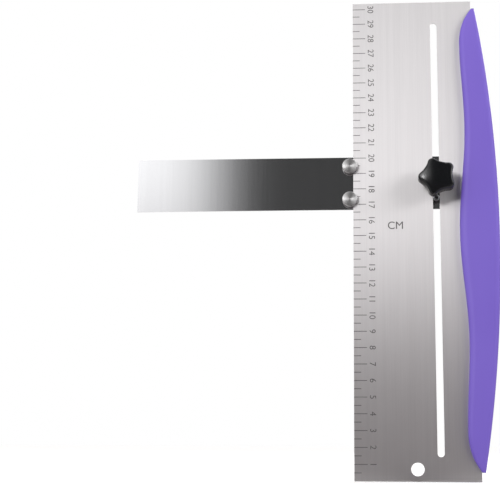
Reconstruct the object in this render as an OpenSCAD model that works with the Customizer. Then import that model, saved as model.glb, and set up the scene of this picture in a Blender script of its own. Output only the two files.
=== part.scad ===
// Adjustable cake scraper. A slotted steel plate is held by a handle on its edge.
// A levelling arm lies behind the plate, runs up and down the slot on two pins and
// two studs, and is clamped at the wanted height by a star knob.
// The plate stands upright: X runs across it towards the handle, the front faces -Y
// and Z is the height above its bottom edge. The origin is the middle of that edge.

/* [Scraper plate] */
// Width of the plate from its working edge to the edge in the handle
plate_w = 76; // [60:1:110]
// Height of the plate
plate_h = 304; // [260:1:400]
// Thickness of the sheet
plate_t = 1; // [0.8:0.1:1.4]

/* [Height slot] */
// Width of the slot
slot_w = 4.3; // [4:0.1:5]
// Distance from each end of the plate to the end of the slot
slot_margin = 14.5; // [12:0.5:24]
// Distance from the middle of the slot to the plate's edge in the handle
slot_to_grip = 24; // [22:0.5:30]

/* [Hanging hole] */
// Diameter of the hole that hangs the scraper up
hang_hole_d = 8; // [5:0.5:9]
// Height of the hole's centre above the bottom edge
hang_hole_up = 7.2; // [6:0.1:9]

/* [Etched scale] */
// Distance between two numbered lines
scale_step = 10; // [10:5:20]
// Length of a numbered line
long_line_l = 8; // [5:0.5:12]
// Length of the line half-way between two numbered ones
short_line_l = 4.4; // [2:0.2:5]
// Width of a line
line_w = 0.3; // [0.2:0.05:0.6]
// Depth of a line
line_depth = 0.05; // [0.02:0.01:0.2]

/* [Handle] */
// How far the handle stands out past the plate at its middle
handle_reach = 14.5; // [12:0.5:24]
// How far the handle stands out past the plate at its two ends
handle_end_reach = 2.2; // [1.6:0.1:5]
// Distance from each end of the plate to the end of the handle
handle_margin = 5.5; // [3:0.5:20]
// Thickness of one half of the handle, from the plate's middle to the crown
handle_half_t = 5.5; // [4.8:0.1:8]
// Wall of one moulded half
handle_wall = 2.2; // [1.6:0.1:2.6]
// How far the handle laps over the plate at the middle of the grip
grip_lap = 9.9; // [9:0.1:12]
// How far it laps over the plate at the two finger hollows
hollow_lap = 5.6; // [5:0.1:7.5]
// How far it laps over the plate at the two shoulders
shoulder_lap = 7.7; // [7:0.1:9.5]
// Diameter of the pegs that join the two halves
peg_d = 4; // [3:0.1:4.2]
// Distance from the plate's edge to the pegs
peg_in = 3.5; // [3.3:0.1:3.8]
// Distance from one peg to the next
peg_pitch = 100; // [60:1:105]

/* [Levelling arm] */
// Length of the arm
arm_l = 200; // [140:1:220]
// Height of the arm's blade
arm_h = 34; // [30:0.5:50]
// Thickness of the arm's sheet
arm_t = 1; // [0.8:0.1:1.6]
// How far the arm runs on past the middle of the slot, behind the plate
arm_tail = 10; // [8:0.5:12]
// Height of the arm's middle above the plate's bottom edge, as photographed
arm_up = 183.7; // [60:0.1:190]
// Distance between the upper and the lower stud
stud_pitch = 21.4; // [20:0.1:24]

/* [Guide studs] */
// Diameter of a stud's turned head
stud_head_d = 9.6; // [8:0.1:11]
// Thickness of a stud's head
stud_head_t = 2.6; // [1.5:0.1:4]
// Diameter of the shank that rolls along the plate's edge
stud_shank_d = 4; // [3.6:0.1:5]
// Diameter of the tenon that is riveted through the arm
stud_tenon_d = 3; // [2:0.1:3.2]

/* [Guide pins] */
// Distance between the upper and the lower pin
pin_pitch = 19.4; // [18.8:0.1:20.4]
// Side play of a pin in the slot
pin_play = 0.15; // [0.1:0.01:0.2]
// Diameter of the hollow in a pin's front end
pin_hollow_d = 2.4; // [1.4:0.1:2.6]
// How far a pin stands out of the slot
pin_proud = 0.5; // [0.2:0.1:0.9]

/* [Clamp] */
// Diameter of the clamp bolt
bolt_d = 4; // [3.4:0.1:4]
// Diameter of the bolt's head behind the arm
bolt_head_d = 9; // [8:0.1:11]
// Thickness of the bolt's head
bolt_head_t = 1.8; // [1:0.1:3]
// Outer diameter of the washer under the knob
washer_d = 10; // [9:0.1:12]
// Thickness of the washer
washer_t = 1; // [0.6:0.1:1.6]
// Diameter of the metal insert in the knob
insert_d = 7; // [6:0.1:8]
// Length of the metal insert
insert_l = 9; // [6:0.1:10]

/* [Star knob] */
// Diameter of the knob over its lobes
knob_d = 23.5; // [22.5:0.5:26]
// Number of lobes
knob_lobes = 5; // [5:1:7]
// Radius of the round end of a lobe
lobe_r = 2.8; // [2.6:0.1:3.2]
// Distance from the knob's axis to the bottom of a valley between lobes
valley_in = 9.15; // [8.8:0.05:9.3]
// Diameter of the boss under the star
boss_d = 12.5; // [11:0.5:14]
// Height of the boss
boss_h = 8; // [6:0.5:10]
// Height of the star above the boss
star_h = 10; // [8:0.5:14]
// How far the top curves down from its middle to the ends of the lobes
dome_drop = 1.7; // [1:0.1:2.6]

/* [Hidden] */
$fn = 72;

// Overrun of every cut past the face it opens
cut = 1;
// Radial gap of a riveted or pressed shank in its hole
seat_gap = 0.02;
// Radial gap of the pegs in the plate, and of the pegs in their sockets
peg_play = 0.2;
peg_fit = 0.05;
// Radial gap of the knob's thread on the bolt
thread_gap = 0.05;
// Gap between the plate's edge and the back of the pocket that holds it
pocket_gap = 0.1;
// Gap between a stud's shank and the plate's edge, and under the stud's head
stud_play = 0.1;
// Gap on each side of the bolt's square neck in the arm
neck_gap = 0.05;

// Planes and lines that the pieces share
work_x = -plate_w / 2;
grip_x = plate_w / 2;
front_y = -plate_t / 2;
back_y = plate_t / 2;
arm_back_y = back_y + arm_t;
slot_x = grip_x - slot_to_grip;
slot_r = slot_w / 2;
upper_stud_z = arm_up + stud_pitch / 2;
lower_stud_z = arm_up - stud_pitch / 2;
upper_pin_z = arm_up + pin_pitch / 2;
lower_pin_z = arm_up - pin_pitch / 2;
line_pitch = scale_step / 2;
// Clear strip that the scale leaves below the plate's top edge
scale_top_clear = 2;
line_count = floor((plate_h - scale_top_clear) / line_pitch);

// The handle's middle, half length, and the shares of it where the wave turns
handle_z = plate_h / 2;
half_l = plate_h / 2 - handle_margin;
hollow_share = 0.464;
shoulder_share = 0.833;
hollow_s = half_l * hollow_share;
shoulder_s = half_l * shoulder_share;
// The inner edge leaves the plate just before the handle's pointed end
tip_past = 0.3;
tip_t = 1.8;
// Powers of the end curve, of the taper along the handle and of its rounded section
end_power = 2.4;
taper_power = 6;
section_power = 5;
outer_sag = handle_reach - handle_end_reach;
outer_r = (half_l * half_l + outer_sag * outer_sag) / (2 * outer_sag);
// Rings along the handle, points on one ring, and points on one side of the cavity
ring_count = 72;
arc_count = 16;
cavity_points = 32;
// The moulding's cavity takes this share of the handle's length
cavity_share = 0.8;
rib_t = 1.2;
rib_pitch = 25;
peg_boss_wall = 1.6;
peg_l = 3;
peg_end_gap = 0.3;

// Pieces of the arm
stud_x = work_x - stud_shank_d / 2 - stud_play;
stud_edge = 0.4;
rivet_lip = 1.1;
rivet_t = 0.8;
pin_d = slot_w - 2 * pin_play;
pin_hollow_l = 1.3;

// Clamp and knob, measured forwards from the plate's front face
washer_play = 0.15;
seat_y = front_y - washer_t;
star_y = seat_y - boss_h;
top_y = star_y - star_h;
bolt_past_insert = 0.5;
insert_room = 2;
lobe_in = knob_d / 2 - lobe_r;
half_step = 180 / knob_lobes;
valley_r = (lobe_r * lobe_r - valley_in * valley_in - lobe_in * lobe_in
            + 2 * lobe_in * valley_in * cos(half_step))
           / (2 * (valley_in - lobe_in * cos(half_step) - lobe_r));
valley_out = valley_in + valley_r;
flank_angle = atan2(valley_out * sin(half_step), valley_out * cos(half_step) - lobe_in);
dome_r = (knob_d * knob_d / 4 + dome_drop * dome_drop) / (2 * dome_drop);
// Turn of the first lobe as photographed, anticlockwise from +X seen from the front
star_turn = 110;
arc_steps = 10;

// A round bar along Y at the given X and Z
module bar(x, z, r, y_from, y_to) {
    translate([x, y_from, z]) rotate([-90, 0, 0]) cylinder(h = y_to - y_from, r = r);
}

// A flat round head that stands out from a face at y, towards +Y when way is 1
module flat_head(x, z, r, t, edge, y, way) {
    translate([x, y, z]) rotate([-90 * way, 0, 0]) {
        cylinder(h = t - edge, r = r);
        translate([0, 0, t - edge]) cylinder(h = edge, r1 = r, r2 = r - edge);
    }
}

module slot_cut() {
    low_z = slot_margin + slot_r;
    high_z = plate_h - slot_margin - slot_r;
    translate([slot_x - slot_r, front_y - cut, low_z])
        cube([slot_w, plate_t + 2 * cut, high_z - low_z]);
    for (z = [low_z, high_z]) bar(slot_x, z, slot_r, front_y - cut, back_y + cut);
}

module scale_lines() {
    for (k = [1:line_count]) {
        l = k % 2 == 0 ? long_line_l : short_line_l;
        translate([work_x - cut, front_y - cut, k * line_pitch - line_w / 2])
            cube([l + cut, cut + line_depth, line_w]);
    }
}

function peg_heights() = [for (k = [-1:1]) handle_z + k * peg_pitch];

module scraper_plate() {
    color("#b9b7b6") difference() {
        translate([work_x, front_y, 0]) cube([plate_w, plate_t, plate_h]);
        slot_cut();
        bar(0, hang_hole_up, hang_hole_d / 2, front_y - cut, back_y + cut);
        for (z = peg_heights())
            bar(grip_x - peg_in, z, peg_d / 2 + peg_play, front_y - cut, back_y + cut);
        scale_lines();
    }
}

// Smooth step from 0 to 1, level at both ends
function ease(u) = (1 - cos(180 * u)) / 2;

// Lap over the plate at a distance s from the handle's middle
function lap(s) =
    s < hollow_s ? grip_lap + (hollow_lap - grip_lap) * ease(s / hollow_s)
    : s < shoulder_s ? hollow_lap + (shoulder_lap - hollow_lap)
                       * ease((s - hollow_s) / (shoulder_s - hollow_s))
    : shoulder_lap - (shoulder_lap + tip_past)
      * pow((s - shoulder_s) / (half_l - shoulder_s), end_power);

function inner_x(s) = grip_x - lap(abs(s));
function outer_x(s) = grip_x + handle_reach - outer_r + sqrt(outer_r * outer_r - s * s);
function half_t(s) = tip_t + (handle_half_t - tip_t)
                     * sqrt(max(0, 1 - pow(abs(s) / half_l, taper_power)));

// A cosine or sine pressed outwards to the squarer curve of the handle's section
function press(v) = sign(v) * pow(abs(v), 2 / section_power);

function ring(s) = [for (j = [0:arc_count])
    let (a = 180 * j / arc_count, mid = (outer_x(s) + inner_x(s)) / 2,
         half_w = (outer_x(s) - inner_x(s)) / 2)
    [mid + half_w * press(cos(a)), -half_t(s) * press(sin(a)), handle_z + s]];

// One half of the handle before it is hollowed, flat at the parting plane
module handle_skin() {
    m = arc_count + 1;
    points = [for (i = [0:ring_count]) each ring(half_l * sin(180 * i / ring_count - 90))];
    sides = [for (i = [0:ring_count - 1], j = [0:m - 1]) let (
        a = i * m + j, b = i * m + (j + 1) % m, c = a + m, d = b + m)
        each [[a, b, d], [a, d, c]]];
    ends = [[for (j = [m - 1:-1:0]) j], [for (j = [0:m - 1]) ring_count * m + j]];
    polyhedron(points = points, faces = concat(sides, ends), convexity = 4);
}

// The hollow of one half, with its ribs and peg bosses left standing
module handle_cavity() {
    reach = half_l * cavity_share;
    steps = [for (k = [0:cavity_points]) reach * (2 * k / cavity_points - 1)];
    depth = handle_half_t - handle_wall;
    difference() {
        translate([0, cut, 0]) rotate([90, 0, 0]) linear_extrude(depth + cut)
            polygon(concat(
                [for (s = steps) [outer_x(s) - handle_wall, handle_z + s]],
                [for (k = [cavity_points:-1:0])
                    [inner_x(steps[k]) + handle_wall, handle_z + steps[k]]]));
        for (k = [-floor(reach / rib_pitch):floor(reach / rib_pitch)])
            translate([grip_x - grip_lap, -depth - cut, handle_z + k * rib_pitch - rib_t / 2])
                cube([grip_lap + handle_reach, depth + cut + front_y, rib_t]);
        for (z = peg_heights())
            bar(grip_x - peg_in, z, peg_d / 2 + peg_boss_wall, -depth - cut, front_y);
    }
}

// One moulded half with the pocket that takes half of the plate's thickness
module handle_half() {
    difference() {
        handle_skin();
        translate([grip_x - grip_lap - cut, front_y, handle_z - half_l - cut])
            cube([grip_lap + cut + pocket_gap, plate_t, 2 * (half_l + cut)]);
        handle_cavity();
    }
}

module handle_front_shell() {
    color("#8269c3") difference() {
        handle_half();
        for (z = peg_heights())
            bar(grip_x - peg_in, z, peg_d / 2 + peg_fit,
                front_y - peg_l - peg_end_gap, front_y + cut);
    }
}

module handle_rear_shell() {
    color("#7c63bd") {
        mirror([0, 1, 0]) handle_half();
        for (z = peg_heights())
            bar(grip_x - peg_in, z, peg_d / 2, front_y - peg_l, handle_half_t - handle_wall);
    }
}

module levelling_arm() {
    neck_w = bolt_d + 2 * neck_gap;
    color("#a9a8aa") difference() {
        translate([slot_x + arm_tail - arm_l, back_y, arm_up - arm_h / 2])
            cube([arm_l, arm_t, arm_h]);
        translate([slot_x - neck_w / 2, back_y - cut, arm_up - neck_w / 2])
            cube([neck_w, arm_t + 2 * cut, neck_w]);
        for (z = [lower_pin_z, upper_pin_z])
            bar(slot_x, z, pin_d / 2 + seat_gap, back_y - cut, arm_back_y + cut);
        for (z = [lower_stud_z, upper_stud_z])
            bar(stud_x, z, stud_tenon_d / 2 + seat_gap, back_y - cut, arm_back_y + cut);
    }
}

// A turned stud whose head hooks over the plate and whose shank runs on its edge
module guide_stud(z) {
    color("#c4c3c4") {
        flat_head(stud_x, z, stud_head_d / 2, stud_head_t, stud_edge, front_y - stud_play, -1);
        bar(stud_x, z, stud_shank_d / 2, front_y - stud_play, back_y);
        bar(stud_x, z, stud_tenon_d / 2, back_y, arm_back_y);
        flat_head(stud_x, z, stud_tenon_d / 2 + rivet_lip, rivet_t, stud_edge, arm_back_y, 1);
    }
}

module upper_guide_stud() { guide_stud(upper_stud_z); }
module lower_guide_stud() { guide_stud(lower_stud_z); }

// A riveted pin, hollow at its front end, that runs in the slot
module guide_pin(z) {
    tip_y = front_y - pin_proud;
    color("#b4b3b5") difference() {
        union() {
            bar(slot_x, z, pin_d / 2, tip_y, arm_back_y);
            flat_head(slot_x, z, pin_d / 2 + rivet_lip, rivet_t, stud_edge, arm_back_y, 1);
        }
        bar(slot_x, z, pin_hollow_d / 2, tip_y - cut, tip_y + pin_hollow_l);
    }
}

module upper_guide_pin() { guide_pin(upper_pin_z); }
module lower_guide_pin() { guide_pin(lower_pin_z); }

// The bolt's square neck sits in the arm, so that the bolt can't turn with the knob
module clamp_bolt() {
    end_y = seat_y - insert_l - bolt_past_insert;
    color("#b4b3b5") {
        bar(slot_x, arm_up, bolt_d / 2, end_y, back_y);
        translate([slot_x - bolt_d / 2, back_y, arm_up - bolt_d / 2])
            cube([bolt_d, arm_t, bolt_d]);
        flat_head(slot_x, arm_up, bolt_head_d / 2, bolt_head_t, bolt_head_t / 2, arm_back_y, 1);
    }
}

module clamp_washer() {
    color("#c9c8c8") difference() {
        bar(slot_x, arm_up, washer_d / 2, seat_y, front_y);
        bar(slot_x, arm_up, bolt_d / 2 + washer_play, seat_y - cut, front_y + cut);
    }
}

// Points on an arc from one angle to another
function arc(cx, cy, r, from, to, n) = [for (k = [0:n])
    let (a = from + (to - from) * k / n) [cx + r * cos(a), cy + r * sin(a)]];

// Round lobes joined by round valleys that are tangent to them
function star_outline() = [for (k = [0:knob_lobes - 1])
    let (a = star_turn + 2 * half_step * k, b = a + half_step)
    each concat(
        arc(lobe_in * cos(a), lobe_in * sin(a), lobe_r, a - flank_angle, a + flank_angle,
            arc_steps),
        arc(valley_out * cos(b), valley_out * sin(b), valley_r, a + flank_angle + 180,
            a + 2 * half_step + 180 - flank_angle, arc_steps))];

// Every point but the repeated ones where two arcs meet
function without_repeats(p) = [for (k = [0:len(p) - 1])
    if (norm(p[k] - p[(k + 1) % len(p)]) > lobe_r / 100) p[k]];

module clamp_knob() {
    color("#1f2024") difference() {
        union() {
            bar(slot_x, arm_up, boss_d / 2, star_y, seat_y);
            intersection() {
                translate([slot_x, star_y, arm_up]) rotate([90, 0, 0])
                    linear_extrude(star_h) polygon(without_repeats(star_outline()));
                translate([slot_x, top_y + dome_r, arm_up]) sphere(r = dome_r);
            }
        }
        bar(slot_x, arm_up, insert_d / 2 + seat_gap, seat_y - insert_l, seat_y + cut);
        bar(slot_x, arm_up, bolt_d / 2 + washer_play, seat_y - insert_l - insert_room, seat_y);
    }
}

module knob_insert() {
    color("#b8963f") difference() {
        bar(slot_x, arm_up, insert_d / 2, seat_y - insert_l, seat_y);
        bar(slot_x, arm_up, bolt_d / 2 + thread_gap, seat_y - insert_l - cut, seat_y + cut);
    }
}

scraper_plate();
handle_front_shell();
handle_rear_shell();
levelling_arm();
upper_guide_stud();
lower_guide_stud();
upper_guide_pin();
lower_guide_pin();
clamp_bolt();
clamp_washer();
clamp_knob();
knob_insert();
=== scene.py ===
# %% [markdown]
# # An adjustable cake scraper
# The imported CAD model is the frame: it holds every part in its place, in metres, and
# nothing here moves it. This lesson dresses it. The sheets of steel and the small, almost
# hidden parts stay as the CAD made them and only get a finish, while the grip, the knob,
# the studs and the pins are modelled again with smooth curves and small rounded edges.

# %% Load the frame
import math
import bmesh
import bpy
from mathutils import Euler, Matrix, Vector


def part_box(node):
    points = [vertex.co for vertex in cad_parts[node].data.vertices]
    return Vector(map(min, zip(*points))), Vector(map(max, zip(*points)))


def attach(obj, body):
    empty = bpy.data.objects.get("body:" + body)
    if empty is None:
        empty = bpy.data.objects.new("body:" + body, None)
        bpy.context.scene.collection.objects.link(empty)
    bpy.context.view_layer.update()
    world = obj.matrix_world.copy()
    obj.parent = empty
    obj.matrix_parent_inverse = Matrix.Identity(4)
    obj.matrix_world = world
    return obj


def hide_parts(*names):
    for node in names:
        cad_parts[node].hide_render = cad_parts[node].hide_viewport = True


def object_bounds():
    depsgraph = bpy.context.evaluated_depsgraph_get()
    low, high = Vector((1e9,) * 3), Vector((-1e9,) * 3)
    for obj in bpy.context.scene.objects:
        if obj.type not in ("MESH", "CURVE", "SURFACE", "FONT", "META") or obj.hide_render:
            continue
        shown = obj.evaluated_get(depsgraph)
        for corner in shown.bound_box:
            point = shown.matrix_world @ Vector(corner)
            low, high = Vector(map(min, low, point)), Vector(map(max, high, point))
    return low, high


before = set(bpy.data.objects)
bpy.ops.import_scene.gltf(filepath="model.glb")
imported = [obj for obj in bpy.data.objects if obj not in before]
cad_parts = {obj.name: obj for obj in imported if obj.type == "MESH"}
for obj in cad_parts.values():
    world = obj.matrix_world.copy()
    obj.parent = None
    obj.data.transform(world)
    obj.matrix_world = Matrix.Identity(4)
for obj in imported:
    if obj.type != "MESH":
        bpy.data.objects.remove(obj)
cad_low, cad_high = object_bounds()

MM = 0.001
print("CAD box in mm:", [round(v / MM, 1) for v in (*cad_low, *cad_high)])

# %% [markdown]
# Sizes that the CAD already fixes are read from its boxes, so that a new piece always
# fits the part it belongs to. Each box is a lowest and a highest corner.

# %% Places taken from the CAD
plate_low, plate_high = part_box("scraper_plate")
shell_low, shell_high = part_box("handle_front_shell")
knob_low, knob_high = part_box("clamp_knob")
washer_low, washer_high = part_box("clamp_washer")
insert_low, insert_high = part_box("knob_insert")
arm_low, arm_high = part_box("levelling_arm")

FRONT_Y = plate_low.y
BACK_Y = plate_high.y
ARM_BACK_Y = arm_high.y
WORK_X = plate_low.x
GRIP_X = plate_high.x
SLOT_X = (washer_low.x + washer_high.x) / 2
ARM_Z = (washer_low.z + washer_high.z) / 2
print("slot at", round(SLOT_X / MM, 2), "mm, arm at", round(ARM_Z / MM, 2), "mm up")

# %% [markdown]
# The photograph was taken from about 64 cm, low down and a little right of the plate's
# left edge, looking slightly up. These values come from fitting the scale's lines, the
# plate's corners, the arm, the slot and the hole to the picture. The lens is given in
# pixels of the picture, which is 500 wide, and the small shift says that the picture was
# cropped off-centre.

# %% The camera
PHOTO_WIDTH = 500
FOCAL_PIXELS = 1042.8
LENS_CENTRE_X = 310
SENSOR_MM = 36
CAMERA_PLACE = Vector((-21.7, -640.9, 24.0)) * MM
CAMERA_PITCH = math.radians(10.80)
CAMERA_YAW = math.radians(3.89)
CAMERA_ROLL = math.radians(0.25)

camera_data = bpy.data.cameras.new("photo_camera")
camera_data.sensor_fit = "HORIZONTAL"
camera_data.sensor_width = SENSOR_MM
camera_data.lens = FOCAL_PIXELS / PHOTO_WIDTH * SENSOR_MM
camera_data.shift_x = (PHOTO_WIDTH / 2 - LENS_CENTRE_X) / PHOTO_WIDTH
camera = bpy.data.objects.new("photo_camera", camera_data)
bpy.context.scene.collection.objects.link(camera)
camera.matrix_world = (Matrix.Translation(CAMERA_PLACE)
                       @ Matrix.Rotation(CAMERA_YAW, 4, "Z")
                       @ Matrix.Rotation(math.pi / 2 + CAMERA_PITCH, 4, "X")
                       @ Matrix.Rotation(CAMERA_ROLL, 4, "Z"))
bpy.context.scene.camera = camera
bpy.context.scene.view_settings.view_transform = "Standard"
print("lens", round(camera_data.lens, 1), "mm")

# %% [markdown]
# A few helpers serve every material. Colours are picked on a screen, so they are written
# as the hex values that a screen shows, and one function turns them into the linear
# numbers that Blender computes with. Another adds a node, sets it up and links its
# inputs. Where an input is given a whole node, it takes that node's first output.

# %% Helpers for materials
def linear(hex_colour):
    """A screen colour such as #8268c4 as linear red, green, blue and alpha."""
    channels = [int(hex_colour[k:k + 2], 16) / 255 for k in (1, 3, 5)]
    return [c / 12.92 if c <= 0.04045 else ((c + 0.055) / 1.055) ** 2.4
            for c in channels] + [1]


def set_inputs(tree, node, inputs):
    """Gives each input a value, or links it to an output socket or to another node."""
    for name, value in inputs.items():
        if isinstance(value, bpy.types.Node):
            value = next(socket for socket in value.outputs if socket.enabled)
        if isinstance(value, bpy.types.NodeSocket):
            tree.links.new(value, node.inputs[name])
        else:
            node.inputs[name].default_value = value


def add_node(tree, kind, inputs, **settings):
    """Adds a node with its settings, its values and its links."""
    node = tree.nodes.new("ShaderNode" + kind)
    for name, value in settings.items():
        setattr(node, name, value)
    set_inputs(tree, node, inputs)
    return node


def start_material(name, inputs):
    """A new material, its node tree and its Principled shader with constant inputs set."""
    material = bpy.data.materials.new(name)
    material.use_nodes = True
    tree = material.node_tree
    shader = tree.nodes["Principled BSDF"]
    set_inputs(tree, shader, inputs)
    return material, tree, shader


def per_mm(size):
    """The noise scale that gives features of this many millimetres."""
    return 1 / (size * MM)


print("purple in linear light:", [round(c, 3) for c in linear("#8268c4")])

# %% [markdown]
# No real surface is one even tone. In every finish here a pattern carries the colour from
# a darker to a lighter tone and the roughness from one value to another. Most of Blender's
# noise lies between 0.3 and 0.7, so that part of it is spread over the whole change.

# %% Patterns that vary a finish
NOISE_LOW = 0.3
NOISE_HIGH = 0.7
GRAIN_RELIEF = 0.02 * MM


def speckle(tree, size, detail):
    """Noise in the object's own space, with features of this many millimetres."""
    place = add_node(tree, "TexCoord", {}).outputs["Object"]
    return add_node(tree, "TexNoise", {
        "Vector": place, "Scale": per_mm(size), "Detail": detail})


def vary(tree, shader, patches, tones, stops, grain, roughness):
    """Lets one pattern drive the colour, and one the roughness."""
    ramp = add_node(tree, "ValToRGB", {"Fac": patches})
    for element, stop, tone in zip(ramp.color_ramp.elements, stops, tones):
        element.position = stop
        element.color = linear(tone)
    rough = add_node(tree, "MapRange", {
        "Value": grain, "From Min": NOISE_LOW, "From Max": NOISE_HIGH,
        "To Min": roughness[0], "To Max": roughness[1]})
    set_inputs(tree, shader, {"Base Color": ramp, "Roughness": rough})


def grained(name, inputs, size, detail, tones, stops, roughness, relief=0, drift=None):
    """A finish with one fine grain. Relief raises the grain, and drift is the size of
    wider patches that the colour then follows."""
    material, tree, shader = start_material(name, inputs)
    grain = speckle(tree, size, detail)
    patches = speckle(tree, drift, 1.0) if drift else grain
    vary(tree, shader, patches, tones, stops, grain, roughness)
    if relief:
        set_inputs(tree, shader, {"Normal": add_node(tree, "Bump", {
            "Height": grain, "Strength": relief, "Distance": GRAIN_RELIEF})})
    print("made", material.name)
    return material


# %% [markdown]
# The plate is stainless sheet with a brushed finish. An abrasive belt has run along its
# height and left fine upright scratches, so a highlight spreads sideways and stays short
# up and down. Blender's anisotropy does that: the tangent points across the scratches.
# The scratches themselves are two noises stretched along Z. Real ones are under 0.1 mm
# wide, too fine for the render, so they are drawn 0.3 mm and 2.4 mm wide.

# %% Brushed stainless sheet
SCRATCH_WIDTH = 0.3
SCRATCH_LENGTH = 30
BAND_WIDTH = 2.4
BAND_LENGTH = 260
BAND_SHARE = 0.45
SHEET_STOPS = (0.35, 0.65)


def streaks(tree, width, length):
    """Noise drawn out along Z, as a brushing belt leaves it."""
    place = add_node(tree, "TexCoord", {}).outputs["Object"]
    drawn = add_node(tree, "Mapping", {
        "Vector": place, "Scale": (per_mm(width), per_mm(width), per_mm(length))})
    return add_node(tree, "TexNoise", {"Vector": drawn, "Scale": 1.0, "Detail": 2.0})


def brushed_sheet(name, tones, roughness, anisotropy, scratch_depth):
    material, tree, shader = start_material(name, {
        "Metallic": 1.0, "Anisotropic": anisotropy})
    scratches = streaks(tree, SCRATCH_WIDTH, SCRATCH_LENGTH)
    bands = streaks(tree, BAND_WIDTH, BAND_LENGTH)
    both = add_node(tree, "Mix", {
        "Factor": BAND_SHARE, "A": scratches, "B": bands}, data_type="FLOAT")
    vary(tree, shader, both, tones, SHEET_STOPS, both, roughness)
    across = add_node(tree, "CombineXYZ", {"X": 1.0})
    bump = add_node(tree, "Bump", {
        "Height": scratches, "Strength": 0.35, "Distance": scratch_depth})
    set_inputs(tree, shader, {"Tangent": across, "Normal": bump})
    print("made", material.name)
    return material


brushed_steel = brushed_sheet(
    "brushed_stainless_sheet", ("#d7d4d5", "#dddadb"), roughness=(0.41, 0.45),
    anisotropy=0.9, scratch_depth=0.01 * MM)

# %% [markdown]
# The arm is the same steel with a polished finish. It is close to a mirror: it shows the
# room as a soft gradient, and only a trace of the brushing is left under the polish.

# %% Polished stainless sheet
polished_steel = brushed_sheet(
    "polished_stainless_sheet", ("#e0e0e2", "#e4e4e6"), roughness=(0.06, 0.08),
    anisotropy=0.0, scratch_depth=0.0005 * MM)

# %% [markdown]
# A stud is turned on a lathe, and the tool leaves rings round its face. Light is spread
# outwards from the middle, never along a ring, and that gives the two bright and two dark
# wedges that every turned face shows. The tangent therefore points away from the axis.
# Each stud has its own middle, so the material is made once for each.

# %% Turned stainless
RING_PITCH = 0.25
RING_DEPTH = 0.01 * MM


def turned_steel(name, middle):
    material, tree, shader = start_material(name, {"Metallic": 1.0, "Anisotropic": 0.85})
    place = add_node(tree, "TexCoord", {}).outputs["Object"]
    centred = add_node(tree, "Mapping", {
        "Vector": place, "Location": (-middle.x, 0, -middle.z)})
    flat = add_node(tree, "VectorMath", {0: centred, 1: (1, 0, 1)}, operation="MULTIPLY")
    outwards = add_node(tree, "VectorMath", {0: flat}, operation="NORMALIZE")
    radius = add_node(tree, "VectorMath", {0: flat}, operation="LENGTH")
    turns = add_node(tree, "Math", {0: radius, 1: per_mm(RING_PITCH)}, operation="MULTIPLY")
    ring = add_node(tree, "TexNoise", {
        "W": turns, "Scale": 1.0, "Detail": 1.0}, noise_dimensions="1D")
    vary(tree, shader, patches=ring, tones=("#c2c1c1", "#e2e1e1"), stops=(0.3, 0.7),
         grain=ring, roughness=(0.36, 0.44))
    bump = add_node(tree, "Bump", {
        "Height": ring, "Strength": 0.4, "Distance": RING_DEPTH})
    set_inputs(tree, shader, {"Tangent": outwards, "Normal": bump})
    return material


# %% [markdown]
# The pins, the bolt and the washer are small steel parts with bright zinc plating. The
# crystals of the zinc make the reflection slightly uneven and a little cold.

# %% Bright zinc plating
zinc = grained("bright_zinc_plated_steel", {"Metallic": 1.0}, size=0.6, detail=3.0,
               tones=("#b4b7bb", "#d6d8da"), stops=(0.0, 1.0), roughness=(0.22, 0.34))

# %% [markdown]
# The insert in the knob is brass turned from bar. It is seen only when the knob is looked
# at from behind, as a thin yellow ring round the bolt.

# %% Turned brass
brass = grained("turned_brass", {"Metallic": 1.0}, size=0.5, detail=2.0,
                tones=("#b08d43", "#cfae62"), stops=(0.0, 1.0), roughness=(0.28, 0.38))

# %% [markdown]
# The grip is moulded polypropylene. Its mould was left slightly matt, so the plastic is
# satin: a broad soft sheen, with a fine grain that only shows close up. The colour drifts
# a little over the length, as pigment does in a long moulding.

# %% Satin purple polypropylene
purple = grained("satin_moulded_polypropylene", {"IOR": 1.49}, size=0.45, detail=2.0,
                 tones=("#7e64d3", "#836ad8"), stops=(0.3, 0.7), roughness=(0.4, 0.5),
                 relief=0.25, drift=60)

# %% [markdown]
# The knob is black nylon with glass fibre, moulded in a finely eroded mould. It is glossy
# enough to catch the window of light on one lobe, and the grain breaks that glint up.

# %% Black moulded nylon
nylon = grained("black_moulded_nylon", {"IOR": 1.53}, size=0.35, detail=2.0,
                tones=("#0e0f11", "#17181b"), stops=(0.3, 0.7), roughness=(0.14, 0.2),
                relief=0.3)

# %% [markdown]
# The scale is marked by a laser, which leaves a thin dark oxide on the steel. It is matt
# and not quite black, and slightly patchy along each line.

# %% Laser-marked steel
mark = grained("laser_marked_steel", {"Metallic": 0.3}, size=0.8, detail=2.0,
               tones=("#5a5758", "#726f6f"), stops=(0.3, 0.7), roughness=(0.5, 0.65))

# %% [markdown]
# The sheets keep their CAD meshes, because flat steel needs no other shape. Each gets its
# finish in its material slots. So do the small parts that are almost hidden.

# %% Dress the CAD parts
for node_name, material in (("scraper_plate", brushed_steel),
                            ("levelling_arm", polished_steel),
                            ("clamp_bolt", zinc), ("clamp_washer", zinc),
                            ("knob_insert", brass)):
    mesh = bpy.data.objects[node_name].data
    mesh.materials.clear()
    mesh.materials.append(material)
    print(node_name, "is", material.name)

# %% [markdown]
# A few helpers serve the modelling. Operators act on whatever is selected, so everything
# is deselected before a new piece is started. In edit mode, the parts to work on are
# selected by a test on their place. A finished piece gets its name, its material, the
# body that it moves with and the CAD node that it stands for.

# %% Helpers for modelling
HAIR = 0.01 * MM


def deselect_all():
    if bpy.context.object and bpy.context.object.mode != "OBJECT":
        bpy.ops.object.mode_set(mode="OBJECT")
    for thing in bpy.context.selected_objects:
        thing.select_set(False)


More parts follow.
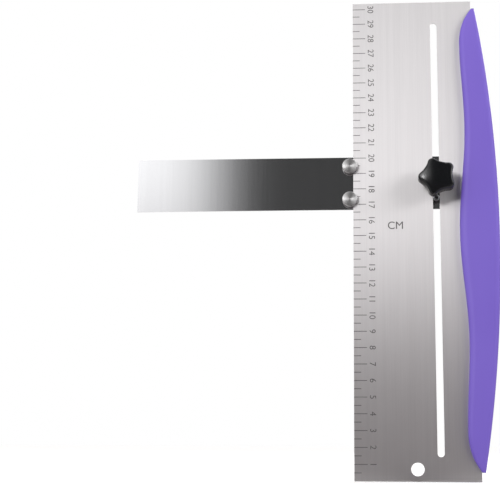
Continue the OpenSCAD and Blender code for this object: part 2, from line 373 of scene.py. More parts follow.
def select_where(kind, test):
    """In edit mode, selects the VERT, EDGE or FACE elements that pass the test."""
    bpy.ops.mesh.select_mode(type=kind)
    bpy.ops.mesh.select_all(action="DESELECT")
    mesh = bmesh.from_edit_mesh(bpy.context.object.data)
    elements = {"VERT": mesh.verts, "EDGE": mesh.edges, "FACE": mesh.faces}[kind]
    chosen = [element for element in elements if test(element)]
    for element in chosen:
        element.select_set(True)
    mesh.select_flush_mode()
    bmesh.update_edit_mesh(bpy.context.object.data)
    return len(chosen)


def all_at(element, y):
    """Whether an edge or face lies wholly at one depth, to a hair."""
    return all(abs(v.co.y - y) < HAIR for v in element.verts)


def apply_modifier(piece, kind, **settings):
    modifier = piece.modifiers.new(kind.lower(), kind)
    for name, value in settings.items():
        setattr(modifier, name, value)
    bpy.context.view_layer.objects.active = piece
    bpy.ops.object.modifier_apply(modifier=modifier.name)


def boolean_with(piece, operation, cutter):
    """Adds or takes away a second shape, which is then deleted."""
    apply_modifier(piece, "BOOLEAN", object=cutter, operation=operation, solver="EXACT")
    bpy.data.objects.remove(cutter)


def finish_piece(piece, name, material, body, replaced=(), smooth_angle=35):
    """Names, smooths, dresses and mounts a piece that has been modelled."""
    deselect_all()
    piece.select_set(True)
    bpy.context.view_layer.objects.active = piece
    bpy.ops.object.transform_apply(location=True, rotation=True, scale=True)
    bpy.ops.object.shade_smooth_by_angle(angle=math.radians(smooth_angle))
    piece.name = name
    piece.data.name = name
    piece.data.materials.clear()
    piece.data.materials.append(material)
    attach(piece, body)
    if replaced:
        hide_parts(*replaced)
    deselect_all()
    print(name, "has", len(piece.data.polygons), "faces")


# %% [markdown]
# The grip is two moulded halves that close on the plate's edge. Seen from the front its
# outer edge is one long arc, and its inner edge is a wave: a swell for the palm, a hollow
# above and below it for the fingers, then a shoulder, then the pointed end. The CAD
# describes both edges by a formula of the distance from the middle, which is used again
# here. A half could be cut from a block or sculpted, but it is really one rounded section
# that changes its width, so it is drawn as a section and extruded along its length, with
# each ring resized and moved to the edges.

# %% The grip's edges
HALF_LENGTH = (shell_high.z - shell_low.z) / 2
GRIP_MIDDLE_Z = (shell_high.z + shell_low.z) / 2
OUTER_REACH = shell_high.x - GRIP_X
END_REACH = 2.2 * MM
PALM_LAP = GRIP_X - shell_low.x
HOLLOW_LAP = 5.6 * MM
SHOULDER_LAP = 7.7 * MM
PAST_EDGE = 0.3 * MM
HOLLOW_AT = 0.464 * HALF_LENGTH
SHOULDER_AT = 0.833 * HALF_LENGTH
END_POWER = 2.4
CROWN = -shell_low.y
END_CROWN = 1.8 * MM
TAPER_POWER = 6
SAG = OUTER_REACH - END_REACH
OUTER_RADIUS = (HALF_LENGTH ** 2 + SAG ** 2) / (2 * SAG)


def ease(share):
    """A soft rise from 0 to 1."""
    return (1 - math.cos(math.pi * share)) / 2


def lap(s):
    """How far the grip laps over the plate at a distance s from the grip's middle."""
    s = abs(s)
    if s < HOLLOW_AT:
        return PALM_LAP + (HOLLOW_LAP - PALM_LAP) * ease(s / HOLLOW_AT)
    if s < SHOULDER_AT:
        share = (s - HOLLOW_AT) / (SHOULDER_AT - HOLLOW_AT)
        return HOLLOW_LAP + (SHOULDER_LAP - HOLLOW_LAP) * ease(share)
    share = (s - SHOULDER_AT) / (HALF_LENGTH - SHOULDER_AT)
    return SHOULDER_LAP - (SHOULDER_LAP + PAST_EDGE) * share ** END_POWER


def grip_ring(s):
    """Middle, half width and crown height of the grip at a distance s from its middle."""
    inner = GRIP_X - lap(s)
    outer = GRIP_X + OUTER_REACH - OUTER_RADIUS + math.sqrt(OUTER_RADIUS ** 2 - s * s)
    share = 1 - (abs(s) / HALF_LENGTH) ** TAPER_POWER
    crown = END_CROWN + (CROWN - END_CROWN) * math.sqrt(max(0.0, share))
    return (inner + outer) / 2, (outer - inner) / 2, crown


print("outer radius of the grip:", round(OUTER_RADIUS / MM), "mm")

# %% [markdown]
# The section starts as a plane two units wide. Its two far corners are bevelled into the
# round shoulders of the moulding. Then it is sized to the grip's first ring and extruded
# ring by ring. The rings are closer together near the ends, where the shape turns faster.
# Last, the two end faces and the sharp edges where the halves meet are bevelled: an end
# face looks along Z, and a sharp edge turns by more than a radian.

# %% The front half of the grip
RING_COUNT = 150
SECTION_ROUNDING = 0.44
SECTION_SEGMENTS = 10
PART_LINE = 0.18 * MM
END_ROUNDING = 0.45 * MM
ALONG_Z = 0.99
SHARP_ANGLE = 1.0


def model_grip_half():
    deselect_all()
    steps = [HALF_LENGTH * math.sin(math.pi * (k / RING_COUNT - 0.5))
             for k in range(RING_COUNT + 1)]
    bpy.ops.mesh.primitive_plane_add(size=2, location=(0, 0, 0))
    piece = bpy.context.object
    bpy.ops.object.mode_set(mode="EDIT")
    bpy.ops.transform.resize(value=(1, 0.5, 1), center_override=(0, 0, 0))
    bpy.ops.transform.translate(value=(0, -0.5, 0))
    select_where("VERT", lambda v: v.co.y < -0.5)
    bpy.ops.mesh.bevel(offset=SECTION_ROUNDING, segments=SECTION_SEGMENTS,
                       affect="VERTICES")
    bpy.ops.mesh.select_all(action="SELECT")
    middle, half_width, crown = grip_ring(steps[0])
    bpy.ops.transform.resize(value=(half_width, crown, 1), center_override=(0, 0, 0))
    bpy.ops.transform.translate(value=(middle, 0, GRIP_MIDDLE_Z + steps[0]))
    for before, after in zip(steps, steps[1:]):
        new_middle, new_half_width, new_crown = grip_ring(after)
        bpy.ops.mesh.extrude_region_move(TRANSFORM_OT_translate={
            "value": (new_middle - middle, 0, after - before)})
        bpy.ops.transform.resize(
            value=(new_half_width / half_width, new_crown / crown, 1),
            center_override=(new_middle, 0, GRIP_MIDDLE_Z + after))
        middle, half_width, crown = new_middle, new_half_width, new_crown
    bpy.ops.mesh.select_all(action="SELECT")
    bpy.ops.mesh.normals_make_consistent(inside=False)
    ends = select_where("FACE", lambda f: abs(f.normal.z) > ALONG_Z and len(f.verts) > 4)
    bpy.ops.mesh.bevel(offset=END_ROUNDING, segments=3, affect="EDGES")
    seam = select_where("EDGE", lambda e: all_at(e, 0) and not e.is_boundary
                        and e.calc_face_angle(0) > SHARP_ANGLE)
    bpy.ops.mesh.bevel(offset=PART_LINE, segments=1, affect="EDGES")
    bpy.ops.object.mode_set(mode="OBJECT")
    print("end caps:", ends, "seam edges:", seam)
    return piece


front_half = model_grip_half()

# %% [markdown]
# Where the half lies over the plate it has a pocket for the sheet. A box as thick as the
# sheet is taken out of it, 0.1 mm deeper than the plate reaches. The cut leaves points at
# the two tips that lie a few thousandths of a millimetre apart, with a slit between them.
# Merging them closes it.

# %% The pocket for the sheet
POCKET_GAP = 0.1 * MM
POCKET_WIDTH = 2 * PALM_LAP
POCKET_LENGTH = 2.1 * HALF_LENGTH


def edit_all(piece):
    """Opens a piece in edit mode with all of it selected."""
    deselect_all()
    piece.select_set(True)
    bpy.context.view_layer.objects.active = piece
    bpy.ops.object.mode_set(mode="EDIT")
    bpy.ops.mesh.select_all(action="SELECT")


deselect_all()
bpy.ops.mesh.primitive_cube_add(
    size=1, location=(GRIP_X + POCKET_GAP - POCKET_WIDTH / 2, 0, GRIP_MIDDLE_Z),
    scale=(POCKET_WIDTH, BACK_Y - FRONT_Y, POCKET_LENGTH))
boolean_with(front_half, "DIFFERENCE", bpy.context.object)
edit_all(front_half)
bpy.ops.mesh.remove_doubles(threshold=HAIR)
bpy.ops.object.mode_set(mode="OBJECT")
print("pocket", round((BACK_Y - FRONT_Y) / MM, 2), "mm wide")

# %% [markdown]
# The rear half is the front one mirrored through the middle of the sheet. Mirroring turns
# a shape inside out. The tool that recalculates normals has to guess which side is out,
# and on a shape with a pocket along its whole length it guesses wrong, so all the faces
# are flipped instead. A positive volume then shows that they point outwards.

# %% Both halves in place
def volume(piece):
    """What a piece encloses in cubic millimetres, negative where it is inside out."""
    mesh = bmesh.new()
    mesh.from_mesh(piece.data)
    enclosed = mesh.calc_volume(signed=True) / MM ** 3
    mesh.free()
    return enclosed


rear_half = front_half.copy()
rear_half.data = front_half.data.copy()
bpy.context.scene.collection.objects.link(rear_half)
edit_all(rear_half)
bpy.ops.transform.resize(value=(1, -1, 1), center_override=(0, 0, 0))
bpy.ops.mesh.flip_normals()
bpy.ops.object.mode_set(mode="OBJECT")
print("the halves enclose", round(volume(front_half)), "and", round(volume(rear_half)),
      "cubic mm")
finish_piece(front_half, "grip_front_half", purple, "plate",
             ["handle_front_shell"])
finish_piece(rear_half, "grip_rear_half", purple, "plate",
             ["handle_rear_shell"])

# %% [markdown]
# The star knob has five round lobes joined by round valleys, on a short boss. Its outline
# is nothing but ten arcs, so it is drawn with the spin operator: one point is spun round
# the middle of a lobe, then round the middle of a valley, and so on round the star.

# %% The knob's outline
LOBES = 5
KNOB_RADIUS = 11.75 * MM
LOBE_RADIUS = 2.8 * MM
VALLEY_IN = 9.15 * MM
STAR_TURN = math.radians(110)
DOME_DROP = 1.7 * MM
BOSS_RADIUS = 6.25 * MM
BOSS_HEIGHT = 8 * MM
SEAT_Y = washer_low.y
STAR_Y = SEAT_Y - BOSS_HEIGHT
TOP_Y = knob_low.y
RIM_Y = TOP_Y + DOME_DROP

lobe_at = KNOB_RADIUS - LOBE_RADIUS
half_step = math.pi / LOBES
valley_radius = ((LOBE_RADIUS ** 2 - VALLEY_IN ** 2 - lobe_at ** 2
                  + 2 * lobe_at * VALLEY_IN * math.cos(half_step))
                 / (2 * (VALLEY_IN - lobe_at * math.cos(half_step) - LOBE_RADIUS)))
valley_at = VALLEY_IN + valley_radius
flank = math.atan2(valley_at * math.sin(half_step),
                   valley_at * math.cos(half_step) - lobe_at)
print("valley radius", round(valley_radius / MM, 2), "mm,",
      "flank", round(math.degrees(flank), 1), "degrees")


def knob_point(distance, angle, y=0.0):
    """A point at a distance from the knob's axis, seen from the front."""
    return Vector((SLOT_X + distance * math.cos(angle), y,
                   ARM_Z + distance * math.sin(angle)))


# %% [markdown]
# The spin operator turns about an axis through a centre. Its sense is the reverse of the
# usual right-hand rule, so that, seen from the front, a positive angle about +Y runs
# anticlockwise. A lobe runs that way, and a valley runs back.

# %% The star's outline
ARC_STEPS = 16
JOIN_WITHIN = 0.02 * MM


def start_with_a_point():
    """A new mesh of one selected vertex at the origin, left in edit mode."""
    deselect_all()
    bpy.ops.mesh.primitive_plane_add(size=1, location=(0, 0, 0))
    bpy.ops.object.mode_set(mode="EDIT")
    bpy.ops.mesh.select_mode(type="VERT")
    bpy.ops.mesh.select_all(action="SELECT")
    bpy.ops.mesh.merge(type="CENTER")
    return bpy.context.object


star = start_with_a_point()
bpy.ops.transform.translate(value=knob_point(lobe_at, STAR_TURN, STAR_Y) + Vector((
    LOBE_RADIUS * math.cos(STAR_TURN - flank), 0, LOBE_RADIUS * math.sin(STAR_TURN - flank))))
for k in range(LOBES):
    angle = STAR_TURN + 2 * half_step * k
    bpy.ops.mesh.spin(steps=ARC_STEPS, angle=2 * flank, axis=(0, 1, 0),
                      center=knob_point(lobe_at, angle, STAR_Y))
    bpy.ops.mesh.spin(steps=ARC_STEPS, angle=-2 * (flank - half_step), axis=(0, 1, 0),
                      center=knob_point(valley_at, angle + half_step, STAR_Y))
bpy.ops.mesh.select_all(action="SELECT")
bpy.ops.mesh.remove_doubles(threshold=JOIN_WITHIN)
bpy.ops.mesh.edge_face_add()
bpy.ops.mesh.extrude_region_move(TRANSFORM_OT_translate={"value": (0, RIM_Y - STAR_Y, 0)})
bpy.ops.mesh.select_all(action="SELECT")
bpy.ops.mesh.normals_make_consistent(inside=False)
print("outline of", 2 * LOBES * ARC_STEPS, "points")

# %% [markdown]
# Both rims are bevelled into round edges. The flat top is then divided into rings that
# shrink towards the axis, and its middle is pulled out with a soft, proportional move.
# The falloff of that move is a parabola, so the top becomes a shallow dome whose lobes
# drop away a little, as a moulded knob's do. The rear rim is hidden from the move.

# %% The star's rims and dome
RIM_ROUNDING = 1.1 * MM
REAR_ROUNDING = 0.5 * MM
DOME_RINGS = 9
REAR_ZONE = 1.5 * MM
MIDDLE_WITHIN = 0.1 * MM

print("front rim:", select_where("EDGE", lambda e: all_at(e, RIM_Y)), "edges")
bpy.ops.mesh.bevel(offset=RIM_ROUNDING, segments=6, affect="EDGES")
print("rear rim:", select_where("EDGE", lambda e: all_at(e, STAR_Y)), "edges")
bpy.ops.mesh.bevel(offset=REAR_ROUNDING, segments=3, affect="EDGES")
select_where("FACE", lambda f: all_at(f, RIM_Y) and len(f.verts) > 4)
for k in range(1, DOME_RINGS):
    bpy.ops.mesh.extrude_region_move()
    bpy.ops.transform.resize(value=[(DOME_RINGS - k) / (DOME_RINGS - k + 1)] * 3,
                             center_override=knob_point(0, 0, RIM_Y))
bpy.ops.mesh.select_mode(type="VERT")
bpy.ops.mesh.merge(type="CENTER")
select_where("VERT", lambda v: v.co.y > STAR_Y - REAR_ZONE)
bpy.ops.mesh.hide()
select_where("VERT", lambda v: (v.co - knob_point(0, 0, RIM_Y)).length < MIDDLE_WITHIN)
bpy.ops.transform.translate(
    value=(0, -DOME_DROP, 0), use_proportional_edit=True,
    proportional_edit_falloff="INVERSE_SQUARE", proportional_size=KNOB_RADIUS)
bpy.ops.mesh.reveal(select=True)
bpy.ops.mesh.select_all(action="SELECT")
bpy.ops.mesh.normals_make_consistent(inside=False)
bpy.ops.object.mode_set(mode="OBJECT")
reach = [(v.co - knob_point(0, 0, v.co.y)).length for v in star.data.vertices]
print("star", round(max(reach) / MM, 2), "mm in radius, top at",
      round(min(v.co.y for v in star.data.vertices) / MM, 2), "mm")

# %% [markdown]
# The star is joined to its boss, and the boss is bored for the metal insert and, beyond
# it, for the end of the bolt. These are booleans with plain round bars.

# %% Boss and bore
BORE_RADIUS = 3.52 * MM
BOLT_ROOM_RADIUS = 2.15 * MM
BOLT_ROOM = 2 * MM
OVERLAP = 1 * MM
BAR_SIDES = 96

for operation, radius, from_y, to_y in (
        ("UNION", BOSS_RADIUS, STAR_Y - OVERLAP, SEAT_Y),
        ("DIFFERENCE", BORE_RADIUS, insert_low.y, SEAT_Y + OVERLAP),
        ("DIFFERENCE", BOLT_ROOM_RADIUS, insert_low.y - BOLT_ROOM, SEAT_Y + OVERLAP)):
    deselect_all()
    bpy.ops.mesh.primitive_cylinder_add(
        vertices=BAR_SIDES, radius=radius, depth=abs(to_y - from_y),
        location=(SLOT_X, (from_y + to_y) / 2, ARM_Z), rotation=(math.pi / 2, 0, 0))
    boolean_with(star, operation, bpy.context.object)
finish_piece(star, "star_knob", nylon, "knob", ["clamp_knob"],
             smooth_angle=30)

# %% [markdown]
# A stud, like anything from a lathe, is a profile turned round an axis. The profile is
# drawn as a chain of points, each a radius and a depth along the axis, and spun once
# round. The doubled points on the axis are merged, which closes the poles. A softened
# corner is written once, as steps away from it in millimetres, sideways and in depth. The
# studs and the pins end alike: a shank goes through the arm and is riveted over behind it.

# %% A lathe
TURNED_STEPS = 96
POLE_WITHIN = 0.004 * MM
RIVET_CORNER = ((0, 0.4), (0.12, 0.15), (0.45, 0))


def corner(steps, radius, y, sideways=-1, deeper=1):
    """The points of a softened corner, whose sharp tip would lie at a radius and a y."""
    return [(radius + sideways * aside * MM, y + deeper * depth * MM)
            for aside, depth in steps]


def riveted_end(shank, rivet, back):
    """The last points of a profile, from the arm's back to the middle of the rivet."""
    return [(shank, ARM_BACK_Y), (rivet, ARM_BACK_Y),
            *corner(RIVET_CORNER, rivet, back, deeper=-1), (0, back)]


def turn_profile(profile, x, z):
    """Spins a chain of (radius, y) points round the axis through x and z."""
    piece = start_with_a_point()
    (radius, y), *rest = profile
    bpy.ops.transform.translate(value=(x + radius, y, z))
    for next_radius, next_y in rest:
        bpy.ops.mesh.extrude_region_move(TRANSFORM_OT_translate={
            "value": (next_radius - radius, next_y - y, 0)})
        radius, y = next_radius, next_y
    bpy.ops.mesh.select_all(action="SELECT")
    bpy.ops.mesh.spin(steps=TURNED_STEPS, angle=2 * math.pi, axis=(0, 1, 0),
                      center=(x, 0, z))
    bpy.ops.mesh.select_all(action="SELECT")
    bpy.ops.mesh.remove_doubles(threshold=POLE_WITHIN)
    bpy.ops.mesh.normals_make_consistent(inside=False)
    bpy.ops.object.mode_set(mode="OBJECT")
    return piece


# %% [markdown]
# A guide stud has a wide head that hooks over the plate, a shank that runs on the plate's
# edge and a tenon that is riveted over behind the arm. Its face has a narrow chamfer, a
# turned ring just inside it and a small centre mark.

# %% The guide studs
HEAD_RADIUS = 4.8 * MM
HEAD_CORNER = ((0.5, 0), (0.3, 0.05), (0.12, 0.27), (0, 0.4))
HEAD_BACK_CORNER = ((0, 0.15), (0.15, 0))
HEAD_GAP = 0.1 * MM
CENTRE_MARK = ((0, 0.18), (0.45, 0.02), (0.55, 0))
SHANK_RADIUS = 2 * MM
TENON_RADIUS = 1.5 * MM
RIVET_RADIUS = 2.6 * MM

for node_name, piece_name in (("upper_guide_stud", "turned_stud_upper"),
                              ("lower_guide_stud", "turned_stud_lower")):
    low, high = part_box(node_name)
    middle = (low + high) / 2
    head_back = FRONT_Y - HEAD_GAP
    stud = turn_profile([
        *corner(CENTRE_MARK, 0, low.y, sideways=1),
        *corner(HEAD_CORNER, HEAD_RADIUS, low.y),
        *corner(HEAD_BACK_CORNER, HEAD_RADIUS, head_back, deeper=-1),
        (SHANK_RADIUS, head_back), (SHANK_RADIUS, BACK_Y), (TENON_RADIUS, BACK_Y),
        *riveted_end(TENON_RADIUS, RIVET_RADIUS, high.y)], middle.x, middle.z)
    finish_piece(stud, piece_name, turned_steel("turned_stainless_" + piece_name, middle),
                 "arm", [node_name], smooth_angle=40)

# %% [markdown]
# A guide pin is hollow at its front end. The rim of the hollow is rounded, so that it
# catches the light as a small bright ring just under the knob.

# %% The guide pins
PIN_RADIUS = 2 * MM
HOLLOW_RADIUS = 1.2 * MM
HOLLOW_DEPTH = 1.3 * MM
HOLLOW_CORNER = ((0, 0.3), (0.08, 0.12), (0.25, 0.02), (0.4, 0))
PIN_CORNER = ((0.25, 0.02), (0.08, 0.12), (0, 0.3))
PIN_RIVET_RADIUS = 3.1 * MM

for node_name, piece_name in (("upper_guide_pin", "riveted_pin_upper"),
                              ("lower_guide_pin", "riveted_pin_lower")):
    low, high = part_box(node_name)
    middle = (low + high) / 2
    pin = turn_profile([
        (0, low.y + HOLLOW_DEPTH), (HOLLOW_RADIUS, low.y + HOLLOW_DEPTH),
        *corner(HOLLOW_CORNER, HOLLOW_RADIUS, low.y, sideways=1),
        *corner(PIN_CORNER, PIN_RADIUS, low.y),
        *riveted_end(PIN_RADIUS, PIN_RIVET_RADIUS, high.y)], middle.x, middle.z)
    finish_piece(pin, piece_name, zinc, "arm", [node_name],
                 smooth_angle=50)

# %% [markdown]
# The scale is 60 lines, one every 5 mm from the bottom edge, short and long in turn. One
# short line and one long line are modelled, and an array repeats each. They lie in the
# grooves that the CAD cuts for them and a hair over each side of them, just proud of the
# sheet by a hundredth of a millimetre, as a laser leaves its mark.

# %% The scale's lines
LINE_PITCH = 5 * MM
SHORT_LINE = 4.4 * MM
LONG_LINE = 8 * MM
LINE_WIDTH = 0.4 * MM
MARK_DEPTH = 0.05 * MM
MARK_PROUD = 0.01 * MM
LINE_COUNT = 60


def model_lines(length, first):
    """Half of the scale's lines: those of one length, from the first one's height up."""
    deselect_all()
    depth = MARK_DEPTH + MARK_PROUD
    bpy.ops.mesh.primitive_cube_add(
        size=1, scale=(length, depth, LINE_WIDTH),
        location=(WORK_X + length / 2, FRONT_Y + depth / 2 - MARK_PROUD, first))
    lines = bpy.context.object
    bpy.ops.object.transform_apply(location=True, rotation=True, scale=True)
    apply_modifier(lines, "ARRAY", count=LINE_COUNT // 2, use_relative_offset=False,
                   use_constant_offset=True,
                   constant_offset_displace=(0, 0, 2 * LINE_PITCH))
    return lines


def join_pieces(pieces):
    deselect_all()
    for piece in pieces:
        piece.select_set(True)
    bpy.context.view_layer.objects.active = pieces[0]
    bpy.ops.object.transform_apply(location=True, rotation=True, scale=True)
    bpy.ops.object.join()
    return pieces[0]


lines = join_pieces([model_lines(SHORT_LINE, LINE_PITCH),
                     model_lines(LONG_LINE, 2 * LINE_PITCH)])
finish_piece(lines, "scale_lines", mark, "plate")

# %% [markdown]
# The numbers are text, turned so that they are read with the plate lying on its working
# edge. Each is centred on its line. The letters CM stand upright beside the 15. Text is
# a curve, so it is made a mesh before it is joined and placed.

# %% The scale's numbers
NUMBER_HEIGHT = 3.9 * MM
NUMBER_X = WORK_X + 9.7 * MM
UNIT_HEIGHT = 5 * MM
UNIT_X = WORK_X + 21.2 * MM
UNIT_UP = 154 * MM
HEIGHT_SHARE = 0.73
UPRIGHT = (math.pi / 2, 0, 0)
READING_DOWN = (math.pi / 2, math.pi / 2, 0)


def add_text(words, height, place, turn, align):
    """Flat text as a mesh. The built-in letters are about 0.73 of their size high."""
    deselect_all()
    bpy.ops.object.text_add(location=place, rotation=turn)
    text = bpy.context.object
    text.data.body = words
    text.data.size = height / HEIGHT_SHARE
    text.data.align_x = align
    text.data.extrude = MARK_PROUD
    bpy.ops.object.convert(target="MESH")
    return bpy.context.object


numbers = [add_text(str(k), NUMBER_HEIGHT, (NUMBER_X, FRONT_Y, 2 * LINE_PITCH * k),
                    READING_DOWN, "CENTER") for k in range(1, LINE_COUNT // 2 + 1)]
numbers.append(add_text("CM", UNIT_HEIGHT, (UNIT_X, FRONT_Y, UNIT_UP), UPRIGHT, "LEFT"))
finish_piece(join_pieces(numbers), "scale_numbers", mark, "plate")

# %% [markdown]
# The floor and the sky both work out tones from places and directions, and both look
# different to the camera, to reflections and to matt things. They share two helpers, and
# the least distance ahead that a sideways slope is divided by.

# %% Helpers for the studio
LEAST_AHEAD = 0.001


def ray_kinds(tree):
    """Whether a ray comes from the camera, and whether it left something shiny or clear."""
    ray = add_node(tree, "LightPath", {}).outputs
    mirrored = add_node(tree, "Math", {
        0: ray["Is Glossy Ray"], 1: ray["Is Transmission Ray"]}, operation="MAXIMUM")
    return ray["Is Camera Ray"], mirrored


def inside(tree, *edges):
    """How far something lies inside all its soft edges, from 0 to 1. An edge is a value
    and a pair: where the rise from 0 starts, and where it reaches 1."""
    share = 1.0
    for value, (start, end) in edges:
        rise = add_node(tree, "MapRange", {
            "Value": value, "From Min": start, "From Max": end},
            interpolation_type="SMOOTHSTEP")
        share = add_node(tree, "Math", {0: share, 1: rise}, operation="MULTIPLY")
    return share


# %% [markdown]
# The scraper stands on a plain pale floor with nothing behind it. The floor is matt, and
# for the camera it is lifted to white, so the shadow stays but no edge or horizon shows.
# Steel and glossy plastic see it half lifted where it lies behind the plate. The lower
# end of the plate mirrors something dark straight in front of it, so there, and in
# reflections alone, the floor turns dark. Its matt light on the grip stays that of a pale
# floor.

# %% The floor
FLOOR_SIZE = 8000 * MM
FLOOR_COLOUR = "#b9b7b6"
FLOOR_IN_STEEL = "#2a1419"
FLOOR_LIFT = 0.55
LIFT_IN_STEEL = 0.5
LIFT_EDGE = (0.0, 50 * MM)
DARK_EDGE = (-10 * MM, 5 * MM)
DARK_SIDES = (0.75, 0.35)


def pale_floor():
    material, tree, shader = start_material("pale_matt_floor", {
        "Roughness": 0.9, "Emission Color": linear("#ffffff")})
    place = add_node(tree, "TexCoord", {}).outputs["Object"]
    parts = add_node(tree, "SeparateXYZ", {"Vector": place}).outputs
    from_camera, mirrored = ray_kinds(tree)

    behind = inside(tree, (parts["Y"], LIFT_EDGE), (mirrored, (0.0, 1.0)))
    half = add_node(tree, "Math", {0: behind, 1: LIFT_IN_STEEL}, operation="MULTIPLY")
    seen = add_node(tree, "Math", {0: from_camera, 1: half}, operation="MAXIMUM")
    lift = add_node(tree, "Math", {0: seen, 1: FLOOR_LIFT}, operation="MULTIPLY")

    out = add_node(tree, "Math", {0: parts["Y"], 1: -1.0}, operation="MULTIPLY")
    ahead = add_node(tree, "Math", {0: out, 1: LEAST_AHEAD}, operation="MAXIMUM")
    aside = add_node(tree, "Math", {0: parts["X"]}, operation="ABSOLUTE")
    slope = add_node(tree, "Math", {0: aside, 1: ahead}, operation="DIVIDE")
    dark = inside(tree, (out, DARK_EDGE), (slope, DARK_SIDES), (mirrored, (0.0, 1.0)))
    colour = add_node(tree, "Mix", {
        "Factor": dark, "A": linear(FLOOR_COLOUR), "B": linear(FLOOR_IN_STEEL)},
        data_type="RGBA")
    set_inputs(tree, shader, {"Emission Strength": lift, "Base Color": colour})
    return material


deselect_all()
bpy.ops.mesh.primitive_plane_add(size=FLOOR_SIZE, location=(0, 0, cad_low.z))
floor = bpy.context.object
floor.name = "floor"
floor.data.materials.append(pale_floor())
print("floor at", round(floor.location.z / MM, 2), "mm")

# %% [markdown]
# Steel looks like what stands round it. The studio is white all round, but behind the
# camera hangs a wide tall dark card, low down the room is dim, and high up it is a little
# less bright. The arm shows the soft left edge of that card, the knob shows its middle,
# and the plate blurs everything into a gradient from bright at the top to dark at the
# bottom. The world draws this by direction: the first number of each pair is where a
# change starts, the second where it ends, as the slope sideways over forwards, or as the
# height on a unit ball.

# %% The room in reflections
IN_FRONT = (0.0, -0.2)
CARD_LEFT = (-0.235, -0.09)
CARD_RIGHT = (1.0, 0.6)
CARD_TOP = (0.9, 0.75)
DIM_BELOW = (0.28, 0.03)
DIM_SHADE = "#30191f"

world = bpy.data.worlds.new("studio")
bpy.context.scene.world = world
world.use_nodes = True
sky = world.node_tree
sky.nodes.clear()

look = add_node(sky, "TexCoord", {}).outputs["Generated"]
parts = add_node(sky, "SeparateXYZ", {"Vector": look}).outputs
towards_front = add_node(sky, "Math", {0: parts["Y"], 1: -1.0}, operation="MULTIPLY")
ahead = add_node(sky, "Math", {0: towards_front, 1: LEAST_AHEAD}, operation="MAXIMUM")
slope = add_node(sky, "Math", {0: parts["X"], 1: ahead}, operation="DIVIDE")
card = inside(sky, (slope, CARD_LEFT), (slope, CARD_RIGHT), (parts["Z"], CARD_TOP),
              (parts["Y"], IN_FRONT))
low_down = inside(sky, (parts["Z"], DIM_BELOW), (parts["Y"], IN_FRONT))
open_share = add_node(sky, "Math", {0: 1.0, 1: card}, operation="SUBTRACT")
dim = add_node(sky, "Math", {0: low_down, 1: open_share}, operation="MULTIPLY")
room = add_node(sky, "Mix", {
    "Factor": dim, "A": linear("#ffffff"), "B": linear(DIM_SHADE)}, data_type="RGBA")
print("sky nodes:", len(sky.nodes))

# %% [markdown]
# The world is plain white for the camera. Reflections see the room: its left wall is
# bright, and the right wall, past the card's end, puts a rim of light on the knob and
# keeps the knob's shadow grey. The light that falls on matt things is an even, softer
# white, so that the lamps model the shapes.

# %% The studio's light
WALL_LEFT = 1.38
WALL_ELSE = 1.02
WALL_RIGHT = 2.0
WALL_BEHIND = 0.75
WALL_SOFTNESS = 0.1
HIGH_UP = (0.34, 0.60)
HIGH_SHARE = 0.75
UNDER_CARD = 0.06
AMBIENT = 0.83

levels = []
for value, (start, end), (low_level, high_level) in (
        (slope, (CARD_LEFT[0] - WALL_SOFTNESS, CARD_LEFT[1]), (WALL_LEFT, WALL_ELSE)),
        (slope, (CARD_RIGHT[1], CARD_RIGHT[0]), (0.0, WALL_RIGHT)),
        (parts["Z"], HIGH_UP, (1.0, HIGH_SHARE)),
        (card, (0.0, 1.0), (1.0, UNDER_CARD))):
    levels.append(add_node(sky, "MapRange", {
        "Value": value, "From Min": start, "From Max": end,
        "To Min": low_level, "To Max": high_level}, interpolation_type="SMOOTHSTEP"))
left_wall, right_wall, not_high, off_card = levels
walls = add_node(sky, "Math", {0: left_wall, 1: right_wall}, operation="ADD")
lower = add_node(sky, "Math", {0: walls, 1: not_high}, operation="MULTIPLY")
in_view = add_node(sky, "Math", {0: lower, 1: off_card}, operation="MULTIPLY")
level = add_node(sky, "Mix", {
    "Factor": inside(sky, (parts["Y"], IN_FRONT)), "A": WALL_BEHIND, "B": in_view},
    data_type="FLOAT")

from_camera, mirrored = ray_kinds(sky)
in_metal = add_node(sky, "Background", {"Color": room, "Strength": level})
on_matt = add_node(sky, "Background", {"Color": linear("#ffffff"), "Strength": AMBIENT})
backdrop = add_node(sky, "Background", {"Color": linear("#ffffff"), "Strength": 1.0})
lit = add_node(sky, "MixShader", {0: mirrored, 1: on_matt, 2: in_metal})
final = add_node(sky, "MixShader", {0: from_camera, 1: lit, 2: backdrop})
add_node(sky, "OutputWorld", {"Surface": final})
print("world nodes:", len(sky.nodes))

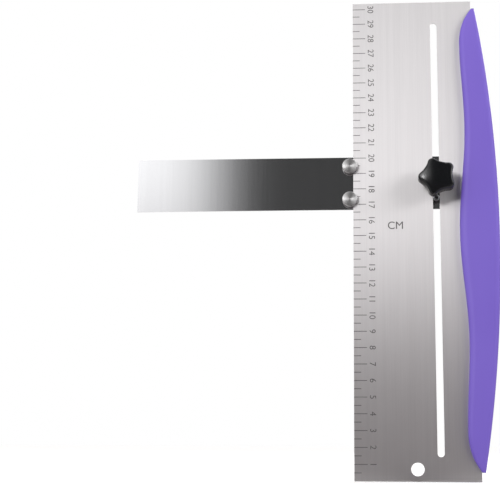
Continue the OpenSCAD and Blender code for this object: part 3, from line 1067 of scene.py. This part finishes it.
# %% [markdown]
# Two lights stand on the left, six metres off, so that the whole plate gets the same light
# and the polished arm shows no hot spot. The key is small and throws the knob's shadow to
# the right and down. The window is a large square round it: the knob's left lobe mirrors
# its straight edge, and it keeps the shadow from going black. A wide weak lamp behind
# fills the other side, and a very weak one near the top makes the grip's upper end the
# lightest. The steel doesn't mirror that last one.

# %% The lamps
LAMPS_AWAY = 6000 * MM
KEY_AZIMUTH = -23
KEY_ELEVATION = 11.5
KEY_SIZE = 600 * MM
KEY_WATTS = 20
WINDOW_AZIMUTH = -27
WINDOW_ELEVATION = 17
WINDOW_SIZE = 2100 * MM
WINDOW_WATTS = 26
FILL_PLACE = Vector((500, 900, 700)) * MM
FILL_SIZE = 700 * MM
FILL_WATTS = 8
TOP_PLACE = Vector((60, -300, 480)) * MM
TOP_SIZE = 300 * MM
TOP_WATTS = 0.3


def add_lamp(name, shape, place, target, size, watts):
    """An area lamp that faces its target and that the camera doesn't see."""
    lamp_data = bpy.data.lights.new(name, "AREA")
    lamp_data.shape = shape
    lamp_data.size = size
    lamp_data.energy = watts
    lamp = bpy.data.objects.new(name, lamp_data)
    bpy.context.scene.collection.objects.link(lamp)
    lamp.location = place
    lamp.rotation_euler = (target - place).to_track_quat("-Z", "Y").to_euler()
    lamp.visible_camera = False
    print(name, "stands", round((target - place).length / MM), "mm away")
    return lamp


def towards(azimuth, elevation):
    """A far place in front, at angles in degrees to the right and up from straight on."""
    place = Vector((0, -LAMPS_AWAY, 0))
    place.rotate(Euler((math.radians(-elevation), 0, math.radians(azimuth))))
    return place


knob_middle = Vector((SLOT_X, STAR_Y, ARM_Z))
add_lamp("key", "DISK", knob_middle + towards(KEY_AZIMUTH, KEY_ELEVATION), knob_middle,
         KEY_SIZE, KEY_WATTS)
add_lamp("window", "SQUARE", knob_middle + towards(WINDOW_AZIMUTH, WINDOW_ELEVATION),
         knob_middle, WINDOW_SIZE, WINDOW_WATTS)
add_lamp("fill", "DISK", FILL_PLACE, (cad_low + cad_high) / 2, FILL_SIZE, FILL_WATTS)
top = add_lamp("top", "DISK", TOP_PLACE, cad_high, TOP_SIZE, TOP_WATTS)
top.visible_glossy = False
